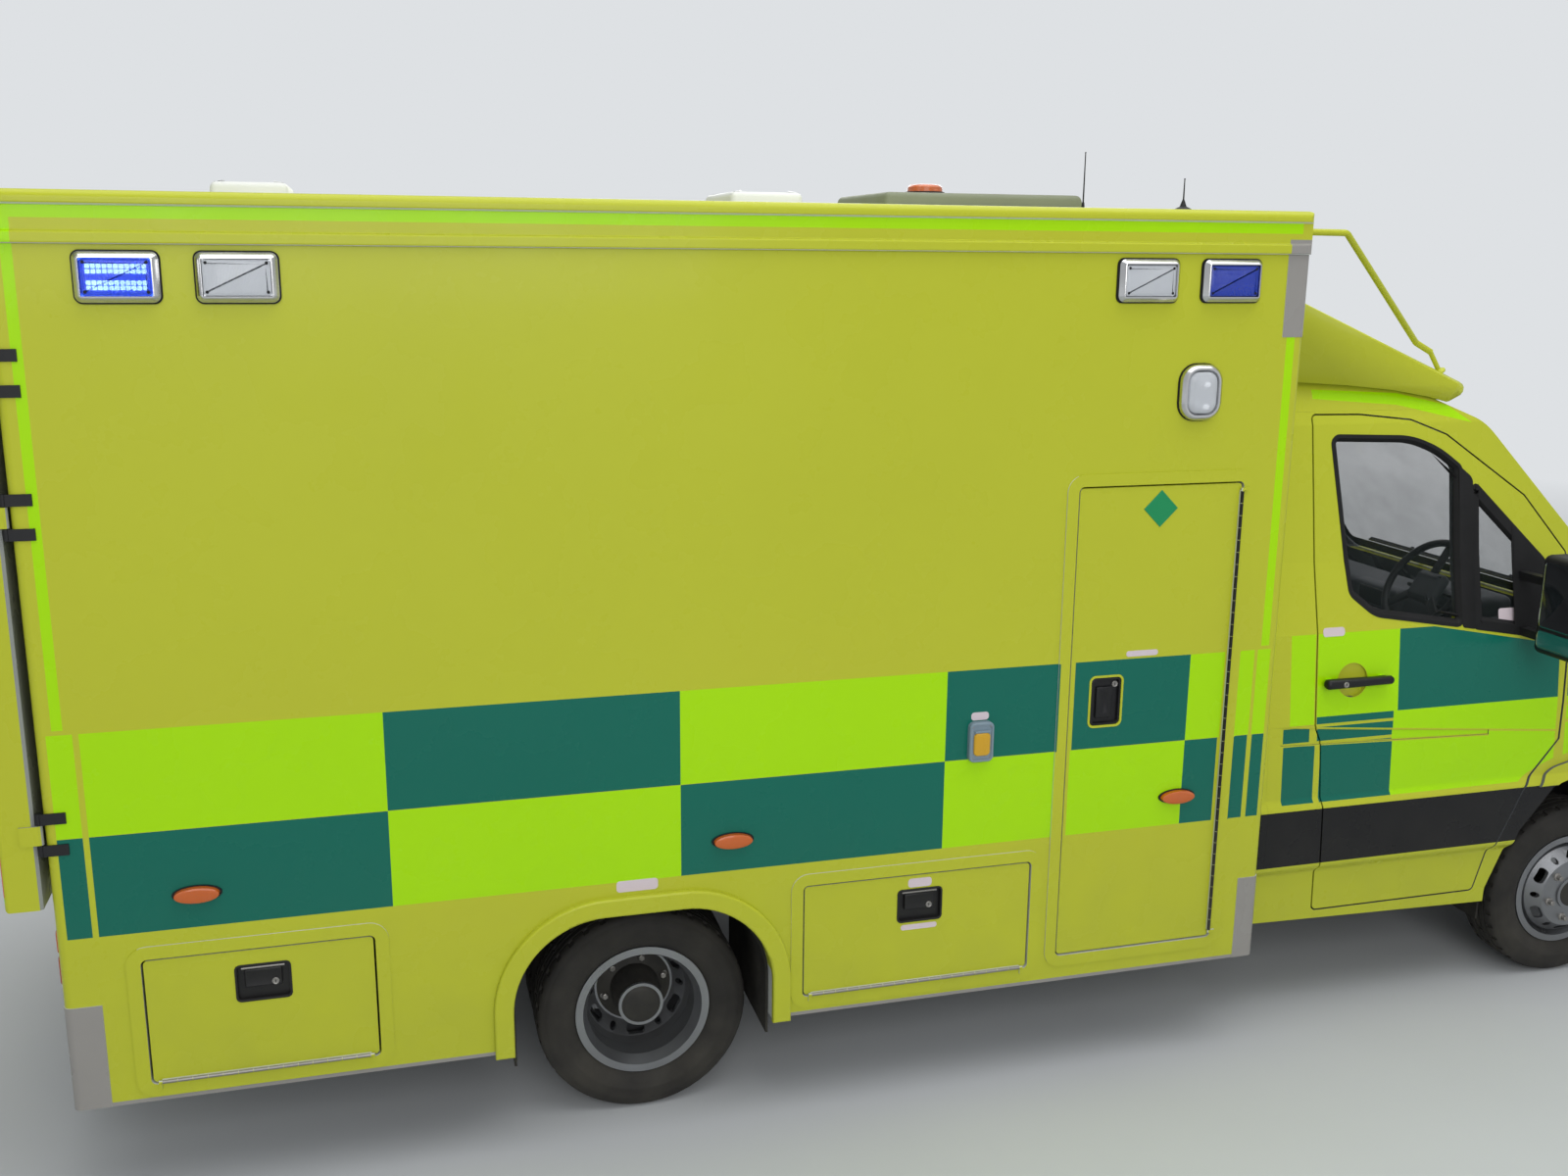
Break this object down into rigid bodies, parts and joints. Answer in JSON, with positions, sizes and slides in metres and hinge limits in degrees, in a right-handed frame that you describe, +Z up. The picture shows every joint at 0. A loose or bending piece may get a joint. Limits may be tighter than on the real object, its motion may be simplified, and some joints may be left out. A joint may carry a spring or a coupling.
{
  "type": "box-body ambulance",
  "caption": "Emergency ambulance: a box body with lockers and side, rear and cab doors on a van chassis cab with twin rear wheels.",
  "frame": {"origin": "on the ground under the middle of the vehicle's length and width", "axes": "+X forward, +Y to the vehicle's left, +Z up"},
  "size_m": [6.469, 2.54, 3.1139],
  "materials": {
    "yellow_paint": "satin",
    "black_plastic": "matte",
    "glass": "gloss",
    "tyre_rubber": "matte",
    "wheel_steel": "satin",
    "chassis_black": "satin",
    "cast_metal": "matte",
    "interior_grey": "matte",
    "seat_fabric": "matte",
    "saloon_white": "satin",
    "lamp_lens": "gloss",
    "unit_white": "satin",
    "bright_metal": "satin",
    "inlet_grey": "matte"
  },
  "bodies": {
    "root": {"frame_rails": "chassis_black", "chassis_frame": "chassis_black", "engine_block": "cast_metal", "front_axle": "chassis_black", "rear_axle": "chassis_black", "cab_shell": "yellow_paint", "cab_floor": "chassis_black", "windscreen": "glass", "front_wings": "yellow_paint", "front_bumper": "black_plastic", "grille": "black_plastic", "headlamps": "lamp_lens", "dashboard": "interior_grey", "steering_wheel": "black_plastic", "cab_seats": "seat_fabric", "roof_fairing": "yellow_paint", "box_floor": "saloon_white", "box_wall_right": "yellow_paint", "box_wall_left": "yellow_paint", "box_bulkhead": "yellow_paint", "box_roof": "yellow_paint", "rear_frame": "yellow_paint", "corner_posts": "yellow_paint", "arch_trims": "yellow_paint", "arch_liners": "black_plastic", "body_lamps": "lamp_lens", "roof_units": "unit_white", "branch_guards": "yellow_paint", "rear_step": "chassis_black", "mains_inlet": "inlet_grey", "saloon_units": "saloon_white", "lockers": "bright_metal", "rear_hinges": "black_plastic"},
    "knuckle_left": {"knuckle_left": "cast_metal"},
    "wheel_front_left": {"tyre_front_left": "tyre_rubber", "rim_front_left": "wheel_steel"},
    "wheels_rear_left": {"tyres_rear_left": "tyre_rubber", "rims_rear_left": "wheel_steel"},
    "cab_door_left": {"cab_door_left": "yellow_paint", "cab_glass_left": "glass", "mirror_left": "black_plastic"},
    "rear_door_left": {"rear_door_left": "yellow_paint", "rear_glass_left": "glass"},
    "knuckle_right": {"knuckle_right": "cast_metal"},
    "wheel_front_right": {"tyre_front_right": "tyre_rubber", "rim_front_right": "wheel_steel"},
    "wheels_rear_right": {"tyres_rear_right": "tyre_rubber", "rims_rear_right": "wheel_steel"},
    "cab_door_right": {"cab_door_right": "yellow_paint", "cab_glass_right": "glass", "mirror_right": "black_plastic"},
    "rear_door_right": {"rear_door_right": "yellow_paint", "rear_glass_right": "glass"},
    "bonnet": {"bonnet": "yellow_paint"},
    "locker_door": {"locker_door": "yellow_paint"},
    "hatch_right_rear": {"hatch_right_rear": "yellow_paint"},
    "hatch_right_front": {"hatch_right_front": "yellow_paint"},
    "hatch_left_rear": {"hatch_left_rear": "yellow_paint"},
    "side_door": {"side_door": "yellow_paint", "side_glass": "glass"}
  },
  "joints": [
    {"name": "steer_left", "type": "hinge", "parent": "root", "child": "knuckle_left", "pos_m": [2.2305, 0.8, 0.345], "axis": [0, 0, 1], "range_deg": [-36, 36]},
    {"name": "wheel_front_left_spin", "type": "hinge", "parent": "knuckle_left", "child": "wheel_front_left", "pos_m": [2.2305, 0.862, 0.345], "axis": [0, 1, 0], "continuous": true},
    {"name": "wheels_rear_left_spin", "type": "hinge", "parent": "root", "child": "wheels_rear_left", "pos_m": [-1.4345, 0.767, 0.345], "axis": [0, 1, 0], "continuous": true},
    {"name": "cab_door_left_swing", "type": "hinge", "parent": "root", "child": "cab_door_left", "pos_m": [2.0935, 0.962, 0.9], "axis": [0, 0, -1], "range_deg": [0, 68]},
    {"name": "rear_door_left_swing", "type": "hinge", "parent": "root", "child": "rear_door_left", "pos_m": [-3.1255, 1.095, 1.7], "axis": [0, 0, -1], "range_deg": [0, 100]},
    {"name": "steer_right", "type": "hinge", "parent": "root", "child": "knuckle_right", "pos_m": [2.2305, -0.8, 0.345], "axis": [0, 0, 1], "range_deg": [-36, 36]},
    {"name": "wheel_front_right_spin", "type": "hinge", "parent": "knuckle_right", "child": "wheel_front_right", "pos_m": [2.2305, -0.862, 0.345], "axis": [0, 1, 0], "continuous": true},
    {"name": "wheels_rear_right_spin", "type": "hinge", "parent": "root", "child": "wheels_rear_right", "pos_m": [-1.4345, -0.767, 0.345], "axis": [0, 1, 0], "continuous": true},
    {"name": "cab_door_right_swing", "type": "hinge", "parent": "root", "child": "cab_door_right", "pos_m": [2.0935, -0.962, 0.9], "axis": [0, 0, 1], "range_deg": [0, 68]},
    {"name": "rear_door_right_swing", "type": "hinge", "parent": "root", "child": "rear_door_right", "pos_m": [-3.1255, -1.095, 1.7], "axis": [0, 0, 1], "range_deg": [0, 100]},
    {"name": "bonnet_lift", "type": "hinge", "parent": "root", "child": "bonnet", "pos_m": [2.5375, 0, 1.284], "axis": [0, -1, 0], "range_deg": [0, 60]},
    {"name": "locker_door_swing", "type": "hinge", "parent": "root", "child": "locker_door", "pos_m": [0.5445, -1.111, 1.2], "axis": [0, 0, 1], "range_deg": [0, 95]},
    {"name": "side_door_swing", "type": "hinge", "parent": "root", "child": "side_door", "pos_m": [0.4625, 1.111, 1.2], "axis": [0, 0, -1], "range_deg": [0, 95]},
    {"name": "hatch_right_rear_drop", "type": "hinge", "parent": "root", "child": "hatch_right_rear", "pos_m": [-1.4345, -1.111, 0.396], "axis": [1, 0, 0], "range_deg": [0, 100]},
    {"name": "hatch_right_front_drop", "type": "hinge", "parent": "root", "child": "hatch_right_front", "pos_m": [-1.4345, -1.111, 0.406], "axis": [1, 0, 0], "range_deg": [0, 100]},
    {"name": "hatch_left_rear_drop", "type": "hinge", "parent": "root", "child": "hatch_left_rear", "pos_m": [-1.4345, 1.111, 0.396], "axis": [-1, 0, 0], "range_deg": [0, 100]}
  ],
  "couplings": [
    {"joint": "steer_right", "follows": "steer_left", "ratio": 1}
  ]
}
